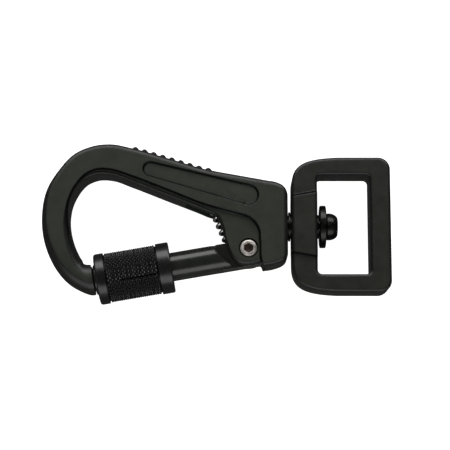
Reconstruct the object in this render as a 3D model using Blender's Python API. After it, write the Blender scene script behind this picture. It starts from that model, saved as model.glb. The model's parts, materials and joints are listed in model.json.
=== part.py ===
"""Swivel snap hook with a screw-locked gate and a webbing eye.

It lies on its back, as it would on a bench. X runs along the hook towards the webbing eye, Y from the
gate to the spine, and Z up through the thickness. Every outline is drawn about the swivel's axis at the
middle of the thickness, and one empty then lifts the whole hook on to the bench.
"""

import math

import bmesh
import bpy
import numpy as np

MM = 0.001

# Driving sizes, in metres
SLEEVE_RADIUS = 7.2 * MM  # the widest part, so it sets how high the hook's middle lies
BENCH_TO_MIDDLE = SLEEVE_RADIUS
FRAME_SHIFT = (0.25 * MM, -0.1 * MM, BENCH_TO_MIDDLE)  # the origin lies under the middle of the outer box
GAP = 0.3 * MM  # between pieces that touch

# Hook body
BODY_HALF = 6.0 * MM
RELIEF_HALF = 5.0 * MM  # the lowered face along the inside edge and round the hinge
POCKET_HALF = 5.5 * MM
BODY_END = 19.8 * MM
NOSE_RADIUS = 4.6 * MM
NECK_OUTSIDE = 45.4 * MM  # from the pivot to where the straight nose starts to bend, on each side
NECK_INSIDE = 46.0 * MM
STATION_STEPS = 4
RIDGE_COUNT = 9
RIDGE_FIRST = (-23.1 * MM, 20.9 * MM)
RIDGE_LAST = (-2.5 * MM, 14.9 * MM)
RIDGE_RADIUS = 0.95 * MM
RIDGE_HALF = 4.9 * MM

# Gate hinge
PIVOT = (8.8 * MM, -7.0 * MM)
GATE_ANGLE = math.radians(9.8)  # how far the closed rod leans from X
ROD_OFFSET = 1.05 * MM  # the rod's axis passes this far outside the pivot
PIVOT_HOLE = 1.95 * MM
PIVOT_BARREL = 1.65 * MM
PIVOT_BARREL_FOOT = -2.6 * MM
PIVOT_HEAD = 2.4 * MM
PIVOT_HEAD_SEAT = 2.75 * MM
PIVOT_HEAD_DEPTH = 1.1 * MM
SOCKET_DEPTH = 0.9 * MM
SOCKET_RADIUS = 1.45 * MM
PIVOT_SCREW = 1.0 * MM
SLOT_HALF = 2.8 * MM

# Gate
ROD_RADIUS = 4.05 * MM
THREAD_RADIUS = 4.35 * MM
TONGUE_HALF = 2.5 * MM
LUG_RADIUS = 4.3 * MM
SHOULDER_DISTANCE = 7.0 * MM  # from the pivot to the plane where the rod turns into the tongue
SHOULDER_ANGLE = math.radians(218.0)
GATE_TIP = 44.0 * MM  # from the pivot, along the rod
NOSE_TIP = 44.35 * MM
CATCH_TIP = 46.0 * MM
CATCH_HALF = 1.5 * MM
CATCH_REACH = (-1.6 * MM, 3.3 * MM)  # across the rod
CATCH_SLOT_HALF = 1.9 * MM
CATCH_SLOT_END = 46.6 * MM
CATCH_SLOT_FLOOR = -2.0 * MM  # the slot is open on the window's side only
THREAD_START = 27.4 * MM
GATE_CHAMFER = 0.45 * MM
HEEL = ((3.5 * MM, -4.4 * MM), 2.9 * MM)  # where the lug runs out under the hinge: its corner, then its foot
RING_GROOVE = (41.0 * MM, 41.9 * MM)
RING_GROOVE_RADIUS = 3.5 * MM
RING_INSIDE = 3.8 * MM
RING_OUTSIDE = 5.0 * MM

# Locking sleeve, placed along the rod from the pivot
SLEEVE_START = 22.1 * MM
SLEEVE_LENGTH = 21.3 * MM
KNURL_RADIUS = 6.95 * MM
BAND_HINGE_SIDE = 3.6 * MM
BAND_NOSE_SIDE = 2.7 * MM
SLEEVE_MOUTH = 4.6 * MM
SLEEVE_BORE = 4.65 * MM
SLEEVE_NOSE_BORE = 5.3 * MM
NOSE_BORE_START = 16.2 * MM
DRAG_GROOVE = (0.9 * MM, 2.7 * MM)
DRAG_GROOVE_RADIUS = 5.85 * MM
DRAG_RING_RADIUS = 4.95 * MM

# Spring
SPRING_TOP = (-0.15 * MM, 4.85 * MM)
SPRING_FOOT = (3.88 * MM, -4.42 * MM)
SPRING_COIL = 1.9 * MM
SPRING_WIRE = 0.47 * MM
SPRING_TURNS = 5.25

# Swivel and webbing eye
EYE_LEFT = 20.9 * MM
EYE_RIGHT = 48.75 * MM
EYE_HALF_WIDTH = 19.2 * MM
EYE_HALF = 5.0 * MM
SWIVEL_DROP = 0.3 * MM  # the swivel's axis sits this far below the outlines' own zero
BOSS_HALF = 5.8 * MM
BOSS_HALF_WIDTH = 8.4 * MM
WINDOW_LEFT = 28.1 * MM
WINDOW_RIGHT = 42.9 * MM
WINDOW_HALF_WIDTH = 14.05 * MM
EYE_BORE = 3.72 * MM
POST_JOURNAL = 3.4 * MM
POST_FLANGE = 4.15 * MM
POST_THREAD = 3.0 * MM
POST_HOLE = 3.3 * MM
POST_HOLE_DEEPEST = 12.5 * MM
POST_START = 13.9 * MM
POST_LEAD = 0.4 * MM
POST_SPIGOT = 2.4 * MM
POST_HEAD = 3.8 * MM
HEAD_LENGTH = 3.1 * MM
WASHER_RADIUS = 6.0 * MM
WASHER_HOLE = 2.75 * MM
WASHER = (28.9 * MM, 30.6 * MM)

ROUND = 48  # sides of a round piece


# ---------------------------------------------------------------- helpers


def clear_scene():
    for old in list(bpy.data.objects):
        bpy.data.objects.remove(old)


def material(name, colour, roughness, metallic):
    made = bpy.data.materials.new(name)
    made.use_nodes = True
    shader = made.node_tree.nodes["Principled BSDF"]
    shader.inputs["Base Color"].default_value = (*colour, 1.0)
    shader.inputs["Roughness"].default_value = roughness
    shader.inputs["Metallic"].default_value = metallic
    return made


def empty(name, location, angle=0.0, parent=None):
    made = bpy.data.objects.new(name, None)
    bpy.context.scene.collection.objects.link(made)
    made.location = location
    made.rotation_euler = (0.0, 0.0, angle)
    made.parent = parent
    return made


def piece(name, mesh_source, finish=None, parent=None, smooth_angle=35.0):
    """A named object from a bmesh, with its normals pointing out."""
    bmesh.ops.recalc_face_normals(mesh_source, faces=mesh_source.faces)
    mesh = bpy.data.meshes.new(name)
    mesh_source.to_mesh(mesh)
    mesh_source.free()
    mesh.shade_smooth()
    mesh.set_sharp_from_angle(angle=math.radians(smooth_angle))
    made = bpy.data.objects.new(name, mesh)
    bpy.context.scene.collection.objects.link(made)
    made.parent = parent
    if finish:
        mesh.materials.append(finish)
    return made


def cutter(name, mesh_source, parent=None):
    made = piece(name, mesh_source, parent=parent)
    made.hide_render = True
    made.display_type = "WIRE"
    return made


def boolean(target, other, operation="DIFFERENCE"):
    modifier = target.modifiers.new(other.name, "BOOLEAN")
    modifier.object = other
    modifier.operation = operation
    modifier.solver = "EXACT"


def arc(centre, radius, start, end, steps):
    """Points on an arc, angles in degrees, both ends included."""
    angles = np.radians(np.linspace(start, end, steps))
    return [(centre[0] + radius * math.cos(a), centre[1] + radius * math.sin(a)) for a in angles]


def bezier(p0, p1, p2, p3, steps):
    """Points of a cubic curve, without its first point."""
    t = np.linspace(0.0, 1.0, steps + 1)[1:, None]
    p0, p1, p2, p3 = (np.array(p, float) for p in (p0, p1, p2, p3))
    curve = (1 - t) ** 3 * p0 + 3 * t * (1 - t) ** 2 * p1 + 3 * t * t * (1 - t) * p2 + t**3 * p3
    return [tuple(p) for p in curve]


def prism(outline, low, high, bevel=0.0, bevel_steps=2):
    """The solid between two heights above an outline, with its rims bevelled."""
    shape = bmesh.new()
    bottom = [shape.verts.new((x, y, low)) for x, y in outline]
    top = [shape.verts.new((x, y, high)) for x, y in outline]
    shape.faces.new(bottom[::-1])
    shape.faces.new(top)
    count = len(outline)
    for i in range(count):
        j = (i + 1) % count
        shape.faces.new((bottom[i], bottom[j], top[j], top[i]))
    if bevel:
        rims = [e for e in shape.edges if abs(e.verts[0].co.z - e.verts[1].co.z) < 1e-9]
        bmesh.ops.bevel(
            shape, geom=rims, offset=bevel, segments=bevel_steps, affect="EDGES", profile=0.5
        )
    return shape


def turned(profile, sides=ROUND):
    """A profile of (x, radius) turned about X. A radius of zero closes the shape on the axis, and a
    profile that never reaches the axis is joined end to end, which leaves a bore."""
    shape = bmesh.new()
    rings = []
    for x, radius in profile:
        if radius < 1e-9:
            rings.append([shape.verts.new((x, 0.0, 0.0))])
            continue
        angles = [2 * math.pi * k / sides for k in range(sides)]
        rings.append([shape.verts.new((x, radius * math.cos(a), radius * math.sin(a))) for a in angles])
    pairs = list(zip(rings, rings[1:]))
    if min(radius for _, radius in profile) > 1e-9:
        pairs.append((rings[-1], rings[0]))
    for first, second in pairs:
        for k in range(sides):
            m = (k + 1) % sides
            if len(first) == 1:
                shape.faces.new((first[0], second[m], second[k]))
            elif len(second) == 1:
                shape.faces.new((first[k], first[m], second[0]))
            else:
                shape.faces.new((first[k], first[m], second[m], second[k]))
    return shape


def shifted(shape, offset):
    bmesh.ops.translate(shape, verts=shape.verts, vec=offset)
    return shape


def upright(radius, low, high, centre, sides=ROUND, turn=0.0):
    """A straight cylinder or prism along Z."""
    angles = [turn + 2 * math.pi * k / sides for k in range(sides)]
    outline = [(centre[0] + radius * math.cos(a), centre[1] + radius * math.sin(a)) for a in angles]
    return prism(outline, low, high)


# ---------------------------------------------------------------- hook body


def rod_point(along, across=0.0):
    """A point on the closed rod's axis, so far from the pivot, and so far towards the spine."""
    c, s = math.cos(GATE_ANGLE), math.sin(GATE_ANGLE)
    x, y = -along, across - ROD_OFFSET
    return (PIVOT[0] + c * x - s * y, PIVOT[1] + s * x + c * y)


def body_stations():
    """Stations along the hook from the nose round to the swivel end: the outside edge, the inside edge,
    half the thickness, and the rounding of the outside and inside edges, in millimetres."""
    tip_out, tip_in = rod_point(NOSE_TIP, -NOSE_RADIUS), rod_point(NOSE_TIP, NOSE_RADIUS)
    neck_out = rod_point(NECK_OUTSIDE, 0.1 * MM - NOSE_RADIUS)
    neck_in = rod_point(NECK_INSIDE, NOSE_RADIUS)
    tip = [tuple(v / MM for v in p) for p in (tip_out, tip_in, neck_out, neck_in)]
    return [
        (tip[0], tip[1], 4.6, 4.6, 4.6),
        (tip[2], tip[3], 4.6, 4.6, 4.6),
        ((-38.9, -18.15), (-37.8, -9.4), 4.7, 4.4, 4.4),
        ((-43.4, -15.0), (-39.9, -6.4), 5.0, 4.0, 3.6),
        ((-46.9, -9.6), (-41.2, -2.5), 5.4, 3.3, 2.6),
        ((-48.8, -3.7), (-41.75, 0.6), 5.7, 2.6, 1.8),
        ((-49.2, 2.2), (-41.8, 3.3), 5.9, 2.1, 1.2),
        ((-48.05, 9.1), (-41.1, 6.9), 6.0, 1.7, 0.9),
        ((-44.8, 14.85), (-39.3, 10.4), 6.0, 1.5, 0.8),
        ((-40.2, 19.85), (-36.5, 12.95), 6.0, 1.5, 0.8),
        ((-35.0, 22.1), (-33.2, 14.0), 6.0, 1.5, 0.8),
        ((-30.0, 22.6), (-29.4, 13.7), 6.0, 1.5, 0.8),
        ((-24.2, 21.5), (-24.6, 11.95), 6.0, 1.5, 0.8),
        ((-12.8, 18.25), (-14.0, 7.75), 6.0, 1.5, 0.8),
        ((-1.9, 15.1), (-3.0, 3.35), 6.0, 1.5, 0.8),
        ((2.4, 14.3), (-0.2, 1.95), 6.0, 1.5, 1.2),
        ((4.6, 13.9), (1.65, -2.2), 6.0, 1.5, 2.1),
        ((6.6, 13.55), (2.75, -6.2), 6.0, 1.5, 2.1),
        ((8.2, 13.25), (4.45, -9.9), 6.0, 1.5, 2.1),
        ((9.8, 12.95), (6.6, -11.6), 6.0, 1.5, 2.1),
        ((11.6, 12.65), (10.0, -11.65), 6.0, 1.5, 2.1),
        ((12.6, 12.45), (12.5, -11.2), 6.0, 1.5, 1.8),
        ((12.9, 12.4), (12.85, -12.2), 6.0, 1.5, 1.3),
        ((14.0, 12.2), (13.8, -12.2), 6.0, 1.5, 1.3),
        ((16.6, 11.7), (16.6, -11.65), 6.0, 1.5, 1.3),
        ((18.4, 10.8), (18.4, -10.9), 6.0, 1.4, 1.3),
        ((19.4, 9.6), (19.4, -10.0), 5.6, 1.2, 1.2),
        ((19.8, 8.4), (19.8, -8.9), 4.9, 1.0, 1.0),
    ]


def smooth_rows(rows, steps):
    """A Catmull-Rom curve through the rows of a table, with so many steps between two rows."""
    rows = np.array(rows, float)
    padded = np.vstack([2 * rows[0] - rows[1], rows, 2 * rows[-1] - rows[-2]])
    out = []
    for i in range(len(rows) - 1):
        a, b, c, d = padded[i : i + 4]
        for t in np.arange(steps) / steps:
            square = (2 * a - 5 * b + 4 * c - d) * t**2
            cube = (3 * b - a - 3 * c + d) * t**3
            out.append(0.5 * (2 * b + (c - a) * t + square + cube))
    out.append(rows[-1])
    return np.array(out)


def rounded_section(width, half, outer, inner, corner_steps):
    """A rectangle from 0 to width across and -half to half high, its outside corners rounded by one
    radius and its inside corners by another: points as (across, height)."""
    outer = min(outer, width / 2, half)
    inner = min(inner, width / 2, half)
    corners = (
        ((outer, half - outer), outer, 180, 90),
        ((width - inner, half - inner), inner, 90, 0),
        ((width - inner, inner - half), inner, 0, -90),
        ((outer, outer - half), outer, -90, -180),
    )
    points = []
    for centre, radius, start, end in corners:
        points += arc(centre, radius, start, end, corner_steps)
    return np.array(points)


def hook_blank():
    """The hook's bent bar, from the nose to the swivel end."""
    table = [[*outside, *inside, *sizes] for outside, inside, *sizes in body_stations()]
    rows = smooth_rows(table, STATION_STEPS) * MM
    shape = bmesh.new()
    rings = []
    for row in rows:
        outside, inside = row[0:2], row[2:4]
        across = inside - outside
        width = np.linalg.norm(across)
        half, outer, inner = row[4:7]
        section = rounded_section(width, half, outer, inner, 4)
        flat = outside + section[:, :1] * across / width
        rings.append([shape.verts.new((x, y, z)) for (x, y), z in zip(flat, section[:, 1])])
    count = len(rings[0])
    for first, second in zip(rings, rings[1:]):
        for k in range(count):
            m = (k + 1) % count
            shape.faces.new((first[k], first[m], second[m], second[k]))
    shape.faces.new(rings[0][::-1])
    shape.faces.new(rings[-1])
    bmesh.ops.remove_doubles(shape, verts=shape.verts, dist=1e-6)
    return shape


def relief_outline():
    """The lowered face: a narrow ledge along the inside edge that opens into the hinge cheek."""
    ledge = [
        (-41.6, -3.0), (-42.1, 1.0), (-42.1, 4.2), (-41.2, 7.9), (-39.5, 11.2), (-36.9, 14.0),
        (-33.6, 15.4), (-30.0, 15.3), (-24.4, 13.55), (-13.7, 9.4), (-2.9, 5.15), (0.0, 4.3), (5.0, 2.95),
    ]
    cheek = [tuple(v / MM for v in p) for p in arc((5.6 * MM, -3.9 * MM), 6.5 * MM, 80, 0, 9)]
    window_side = [
        (12.4, -14.0), (1.0, -14.0), (-2.5, -3.0), (-6.0, 2.0), (-28.0, 9.0), (-37.0, 4.0), (-39.5, -3.0),
    ]
    return [(x * MM, y * MM) for x, y in ledge + cheek + window_side]


def pocket_outline():
    """A shallow recess along the spine, with round ends of two sizes."""
    small, large = (-18.8 * MM, 15.3 * MM), (8.8 * MM, 7.9 * MM)
    return arc(large, 2.95 * MM, 75, -105, 13) + arc(small, 2.2 * MM, 255, 75, 11)


def slot_outline():
    """The gap between the hinge ears, with the spring's seat at its top."""
    start = [(-8.6, 2.0), (-8.6, 7.3), (-3.3, 5.45), (-2.6, 4.65), (2.35, 6.65), (4.75, 1.1)]
    round_hinge = [tuple(v / MM for v in p) for p in arc(PIVOT, 4.75 * MM, 118, 0, 12)]
    way_out = [(13.55, -14.5), (0.0, -14.5), (-6.0, 0.0)]
    return [(x * MM, y * MM) for x, y in start + round_hinge + way_out]


def make_hook_body(finish, frame):
    body = piece("hook_body", hook_blank(), finish, frame)
    for k in range(RIDGE_COUNT):
        t = k / (RIDGE_COUNT - 1)
        centre = [a + (b - a) * t for a, b in zip(RIDGE_FIRST, RIDGE_LAST)]
        ridge = cutter(f"ridge_{k + 1}", upright(RIDGE_RADIUS, -RIDGE_HALF, RIDGE_HALF, centre, 14), frame)
        boolean(body, ridge, "UNION")
    beyond = 2.0 * MM
    for side, name in ((1, "front"), (-1, "back")):
        for label, outline, depth in (
            ("relief", relief_outline(), RELIEF_HALF),
            ("pocket", pocket_outline(), POCKET_HALF),
        ):
            low, high = sorted((side * depth, side * (BODY_HALF + beyond)))
            boolean(body, cutter(f"{label}_{name}", prism(outline, low, high), frame))
    boolean(body, cutter("ear_slot", prism(slot_outline(), -SLOT_HALF, SLOT_HALF), frame))
    reach = BODY_HALF + beyond
    boolean(body, cutter("pivot_hole", upright(PIVOT_HOLE, -reach, reach, PIVOT, 40), frame))
    seat = RELIEF_HALF - PIVOT_HEAD_DEPTH
    for side, name in ((1, "front"), (-1, "back")):
        low, high = sorted((side * seat, side * reach))
        head_seat = upright(PIVOT_HEAD_SEAT, low, high, PIVOT, 40)
        boolean(body, cutter(f"pivot_seat_{name}", head_seat, frame))
    hole_end, past_end = POST_HOLE_DEEPEST, BODY_END + 1.2 * MM
    post_hole = turned([(hole_end, 0), (hole_end, POST_HOLE), (past_end, POST_HOLE), (past_end, 0)], 40)
    boolean(body, cutter("post_hole", shifted(post_hole, (0.0, -SWIVEL_DROP, 0.0)), frame))
    mouth, floor, way_out = NOSE_TIP - beyond, CATCH_SLOT_FLOOR, 9 * MM
    corners = [(mouth, floor), (mouth, way_out), (CATCH_SLOT_END, way_out), (CATCH_SLOT_END, floor)]
    catch = prism([rod_point(*corner) for corner in corners], -CATCH_SLOT_HALF, CATCH_SLOT_HALF)
    boolean(body, cutter("catch_slot", catch, frame))
    return body


# ---------------------------------------------------------------- gate, in the hinge's own axes


def shoulder_line(reach):
    """Two points far along the plane where the rod turns into the tongue."""
    c, s = math.cos(SHOULDER_ANGLE), math.sin(SHOULDER_ANGLE)
    foot = (SHOULDER_DISTANCE * c, SHOULDER_DISTANCE * s)
    return (foot[0] - s * reach, foot[1] + c * reach), (foot[0] + s * reach, foot[1] - c * reach)


def make_gate(finish, hinge):
    root = -4.0 * MM  # the round bar starts inside the tongue
    rod_profile = [
        (-GATE_TIP, 0.0), (-GATE_TIP, THREAD_RADIUS - GATE_CHAMFER),
        (GATE_CHAMFER - GATE_TIP, THREAD_RADIUS),
        (-RING_GROOVE[1], THREAD_RADIUS), (-RING_GROOVE[1], RING_GROOVE_RADIUS),
        (-RING_GROOVE[0], RING_GROOVE_RADIUS), (-RING_GROOVE[0], THREAD_RADIUS),
        (-THREAD_START, THREAD_RADIUS), (-THREAD_START, ROD_RADIUS), (root, ROD_RADIUS), (root, 0.0),
    ]
    rod = shifted(turned(rod_profile), (0.0, -ROD_OFFSET, 0.0))
    gate = piece("gate", rod, finish, hinge)
    far, near = shoulder_line(14 * MM)
    past_rod, past_hinge = 6 * MM, 20 * MM
    for side, name in ((1, "front"), (-1, "back")):
        flat = [far, near, (near[0] + past_hinge, near[1]), (far[0] + past_hinge, far[1])]
        low, high = sorted((side * TONGUE_HALF, side * past_rod))
        boolean(gate, cutter(f"flat_{name}", prism(flat, low, high), hinge))
    top, bottom = ROD_RADIUS - ROD_OFFSET, -ROD_RADIUS - ROD_OFFSET
    inset = 0.25 * MM
    inside_rod, lug_start = -9.0 * MM, -3.3 * MM
    tongue = [(inside_rod, bottom + inset), (inside_rod, top - inset), (lug_start, top - inset)]
    tongue += arc((0.0, 0.0), LUG_RADIUS, 138, -30, 18)
    tongue += [HEEL[0], (HEEL[1], bottom + inset)]
    lug = prism(tongue, -TONGUE_HALF, TONGUE_HALF, 0.3 * MM, 1)
    boolean(gate, cutter("tongue", lug, hinge), "UNION")
    hole = upright(PIVOT_HOLE, -past_rod, past_rod, (0.0, 0.0), 40)
    boolean(gate, cutter("gate_pivot_hole", hole, hinge))
    low, high = CATCH_REACH
    inside_tip = 1 * MM - GATE_TIP
    catch = [(-CATCH_TIP, low), (inside_tip, low), (inside_tip, high), (-CATCH_TIP, high)]
    catch_shape = shifted(prism(catch, -CATCH_HALF, CATCH_HALF, 0.25 * MM, 1), (0.0, -ROD_OFFSET, 0.0))
    boolean(gate, cutter("catch", catch_shape, hinge), "UNION")
    return gate


def make_stop_ring(finish, hinge):
    """A ring in the groove behind the gate's tip, which the sleeve can't pass."""
    play = 0.1 * MM
    start, end = play - RING_GROOVE[1], -play - RING_GROOVE[0]
    profile = [(start, RING_INSIDE), (end, RING_INSIDE), (end, RING_OUTSIDE), (start, RING_OUTSIDE)]
    return piece("sleeve_stop_ring", shifted(turned(profile), (0.0, -ROD_OFFSET, 0.0)), finish, hinge)


def make_sleeve(finish, hinge):
    start, end = -SLEEVE_START, -SLEEVE_START - SLEEVE_LENGTH
    edge = 0.5 * MM
    step = 0.25 * MM
    outside = [
        (start, SLEEVE_RADIUS - edge), (start - edge, SLEEVE_RADIUS),
        (start - BAND_HINGE_SIDE, SLEEVE_RADIUS), (start - BAND_HINGE_SIDE - step, KNURL_RADIUS),
        (end + BAND_NOSE_SIDE + step, KNURL_RADIUS),
        (end + BAND_NOSE_SIDE, SLEEVE_RADIUS), (end + edge, SLEEVE_RADIUS), (end, SLEEVE_RADIUS - edge),
    ]
    shoulder = start - NOSE_BORE_START
    groove = [start - g for g in DRAG_GROOVE]
    inside = [
        (end, SLEEVE_NOSE_BORE + 0.3 * MM), (end + 0.4 * MM, SLEEVE_NOSE_BORE),
        (shoulder, SLEEVE_NOSE_BORE), (shoulder, SLEEVE_BORE),
        (groove[1], SLEEVE_BORE), (groove[1], DRAG_GROOVE_RADIUS),
        (groove[0], DRAG_GROOVE_RADIUS), (groove[0], SLEEVE_MOUTH), (start, SLEEVE_MOUTH),
    ]
    shell = shifted(turned(outside + inside, 64), (0.0, -ROD_OFFSET, 0.0))
    return piece("lock_sleeve", shell, finish, hinge)


def make_drag_ring(finish, hinge):
    """A rubber ring in the sleeve's groove that grips the rod."""
    radius, rows = 0.6 * MM, 12
    centre = (-SLEEVE_START - sum(DRAG_GROOVE) / 2, DRAG_RING_RADIUS)
    return piece(
        "sleeve_drag_ring",
        shifted(turned(arc(centre, radius, 360, 360 / rows, rows)), (0.0, -ROD_OFFSET, 0.0)),
        finish, hinge,
    )


# ---------------------------------------------------------------- pivot, spring


def make_pivot_barrel(finish, hinge):
    """The front half of the hinge pin: a headed barrel, tapped from behind."""
    top = RELIEF_HALF - 0.15 * MM
    under_head = RELIEF_HALF - PIVOT_HEAD_DEPTH + GAP
    foot = PIVOT_BARREL_FOOT
    shape = prism(arc((0.0, 0.0), PIVOT_BARREL, 0, 351, 40), foot, under_head + 0.2 * MM)
    barrel = piece("gate_pivot_barrel", shape, finish, hinge)
    head = prism(arc((0.0, 0.0), PIVOT_HEAD, 0, 351, 40), under_head, top, 0.25 * MM)
    boolean(barrel, cutter("barrel_head", head, hinge), "UNION")
    socket = upright(SOCKET_RADIUS, top - SOCKET_DEPTH, top + 1 * MM, (0, 0), 6)
    boolean(barrel, cutter("barrel_socket", socket, hinge))
    tapped = upright(PIVOT_SCREW + GAP, foot - 1 * MM, 1.5 * MM, (0, 0), 24)
    boolean(barrel, cutter("barrel_tapping", tapped, hinge))
    return barrel


def make_pivot_screw(finish, hinge):
    """The back half of the hinge pin: a shouldered screw, run up into the barrel."""
    face = -RELIEF_HALF + 0.15 * MM
    under_head = -RELIEF_HALF + PIVOT_HEAD_DEPTH - GAP
    shoulder_top = PIVOT_BARREL_FOOT - GAP
    shape = prism(arc((0.0, 0.0), PIVOT_BARREL, 0, 351, 40), under_head - 0.2 * MM, shoulder_top)
    screw = piece("gate_pivot_screw", shape, finish, hinge)
    head = prism(arc((0.0, 0.0), PIVOT_HEAD, 0, 351, 40), face, under_head, 0.25 * MM)
    boolean(screw, cutter("screw_head", head, hinge), "UNION")
    thread = upright(PIVOT_SCREW, shoulder_top - 0.5 * MM, 1.0 * MM, (0, 0), 24)
    boolean(screw, cutter("screw_thread", thread, hinge), "UNION")
    socket = upright(SOCKET_RADIUS, face - 1 * MM, face + SOCKET_DEPTH, (0, 0), 6)
    boolean(screw, cutter("screw_socket", socket, hinge))
    return screw


def make_spring(finish, frame):
    """A compression spring between its seat in the spine and the top of the gate's tongue."""
    top, foot = np.array([*SPRING_TOP, 0.0]), np.array([*SPRING_FOOT, 0.0])
    axis = (foot - top) / np.linalg.norm(foot - top)
    side = np.array([-axis[1], axis[0], 0.0])
    steps_per_turn, sides = 18, 8
    count = int(SPRING_TURNS * steps_per_turn) + 1
    t = np.linspace(0.0, 1.0, count)
    turn = 2 * math.pi * SPRING_TURNS * t
    ends = 0.14  # the share of the wire, at each end, that is wound close
    climb = np.clip((t - ends * 0.72) / (1 - 2 * ends * 0.72), 0, 1)
    length = np.linalg.norm(foot - top)
    rise = SPRING_WIRE + (length - 2 * SPRING_WIRE) * (0.82 * climb + 0.18 * t)
    centre = top + rise[:, None] * axis
    out = np.cos(turn)[:, None] * side + np.sin(turn)[:, None] * np.array([0.0, 0.0, 1.0])
    line = centre + SPRING_COIL * out
    shape = bmesh.new()
    rings = []
    for k in range(count):
        ahead = line[min(k + 1, count - 1)] - line[max(k - 1, 0)]
        ahead /= np.linalg.norm(ahead)
        second = np.cross(ahead, out[k])
        second /= np.linalg.norm(second)
        first = np.cross(second, ahead)
        ring = []
        for m in range(sides):
            a = 2 * math.pi * m / sides
            spoke = math.cos(a) * first + math.sin(a) * second
            ring.append(shape.verts.new(line[k] + SPRING_WIRE * spoke))
        rings.append(ring)
    for one, two in zip(rings, rings[1:]):
        for m in range(sides):
            n = (m + 1) % sides
            shape.faces.new((one[m], one[n], two[n], two[m]))
    shape.faces.new(rings[0][::-1])
    shape.faces.new(rings[-1])
    return piece("gate_spring", shape, finish, frame)


# ---------------------------------------------------------------- swivel


def eye_outline():
    """Square at the webbing's side, and drawn in with long curves at the swivel's side."""
    w, left, right = EYE_HALF_WIDTH, EYE_LEFT, EYE_RIGHT
    corner = 3.4 * MM
    upper = bezier((left, 11.0 * MM), (left, 17.3 * MM), (24.6 * MM, 18.8 * MM), (34.0 * MM, w), 8)
    upper += arc((right - corner, w - corner), corner, 90, 0, 7)
    lower = [(x, -y) for x, y in reversed(upper)]
    return [(left, 11.0 * MM)] + upper + lower + [(left, -11.0 * MM)]


def window_outline():
    """The webbing's window, with round corners."""
    corner = 1.3 * MM
    w, left, right = WINDOW_HALF_WIDTH, WINDOW_LEFT, WINDOW_RIGHT
    points = []
    for x, y, start in (
        (right - corner, w - corner, 0), (left + corner, w - corner, 90),
        (left + corner, corner - w, 180), (right - corner, corner - w, 270),
    ):
        points += arc((x, y), corner, start, start + 90, 5)
    return points


def make_eye(finish, swivel):
    eye = piece("webbing_eye", prism(eye_outline(), -EYE_HALF, EYE_HALF, 0.7 * MM), finish, swivel)
    slope = 1.0 * MM
    boss_root = EYE_HALF - 1 * MM
    boss_side = [
        (-BOSS_HALF_WIDTH, boss_root), (BOSS_HALF_WIDTH, boss_root),
        (BOSS_HALF_WIDTH - slope, BOSS_HALF), (slope - BOSS_HALF_WIDTH, BOSS_HALF),
    ]
    for side, name in ((1, "front"), (-1, "back")):
        shape = bmesh.new()
        ends = []
        for x in (EYE_LEFT + 0.5 * MM, WINDOW_LEFT + 2 * MM):
            ends.append([shape.verts.new((x, y, side * z)) for y, z in boss_side])
        shape.faces.new(ends[0])
        shape.faces.new(ends[1][::-1])
        for k in range(4):
            m = (k + 1) % 4
            shape.faces.new((ends[0][m], ends[0][k], ends[1][k], ends[1][m]))
        boolean(eye, cutter(f"boss_{name}", shape, swivel), "UNION")
    boolean(eye, cutter("window", prism(window_outline(), -9 * MM, 9 * MM), swivel))
    bore_start, bore_end = EYE_LEFT - 1.9 * MM, WINDOW_LEFT + 1.9 * MM
    bore = turned([(bore_start, 0), (bore_start, EYE_BORE), (bore_end, EYE_BORE), (bore_end, 0)])
    boolean(eye, cutter("eye_bore", bore, swivel))
    return eye


def make_post(finish, swivel):
    """The swivel's post: screwed into the body, with a flange, a journal and a peened head."""
    flange = (BODY_END + GAP, EYE_LEFT - GAP)
    journal_end = WASHER[0] - GAP
    head = WASHER[1] + GAP
    dome = HEAD_LENGTH * 0.55
    round_over = POST_HEAD / 2
    edge = 0.2 * MM
    rounded = [
        (head + HEAD_LENGTH - dome + dome * math.sin(a), POST_HEAD - round_over + round_over * math.cos(a))
        for a in np.radians([0, 20, 40, 60, 80])
    ]
    profile = [
        (POST_START, 0.0), (POST_START, POST_THREAD - POST_LEAD), (POST_START + POST_LEAD, POST_THREAD),
        (flange[0], POST_THREAD), (flange[0], POST_FLANGE),
        (flange[1], POST_FLANGE), (flange[1], POST_JOURNAL),
        (journal_end, POST_JOURNAL), (journal_end, POST_SPIGOT),
        (head, POST_SPIGOT), (head, POST_HEAD - edge), (head + edge, POST_HEAD),
        *rounded, (head + HEAD_LENGTH, 0.0),
    ]
    return piece("swivel_post", turned(profile), finish, swivel)


def make_washer(finish, swivel):
    start, end = WASHER
    edge = 0.3 * MM
    profile = [
        (start, WASHER_HOLE), (end, WASHER_HOLE), (end, WASHER_RADIUS - edge),
        (end - edge, WASHER_RADIUS), (start + edge, WASHER_RADIUS), (start, WASHER_RADIUS - edge),
    ]
    return piece("swivel_washer", turned(profile), finish, swivel)


def main():
    clear_scene()
    anodised = material("black_anodised", (0.035, 0.038, 0.034), 0.42, 1.0)
    blackened = material("blackened_steel", (0.03, 0.03, 0.03), 0.35, 1.0)
    steel = material("bright_steel", (0.62, 0.58, 0.55), 0.25, 1.0)
    rubber = material("ring_rubber", (0.02, 0.02, 0.02), 0.8, 0.0)
    frame = empty("hook_frame", FRAME_SHIFT)
    hinge = empty("hinge_axis", (*PIVOT, 0.0), GATE_ANGLE, frame)
    swivel = empty("swivel_axis", (0.0, -SWIVEL_DROP, 0.0), 0.0, frame)
    make_hook_body(anodised, frame)
    make_gate(anodised, hinge)
    make_stop_ring(blackened, hinge)
    make_sleeve(anodised, hinge)
    make_drag_ring(rubber, hinge)
    make_pivot_barrel(steel, hinge)
    make_pivot_screw(steel, hinge)
    make_spring(blackened, frame)
    make_eye(anodised, swivel)
    make_post(blackened, swivel)
    make_washer(blackened, swivel)


main()
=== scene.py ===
import json
import math

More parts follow.
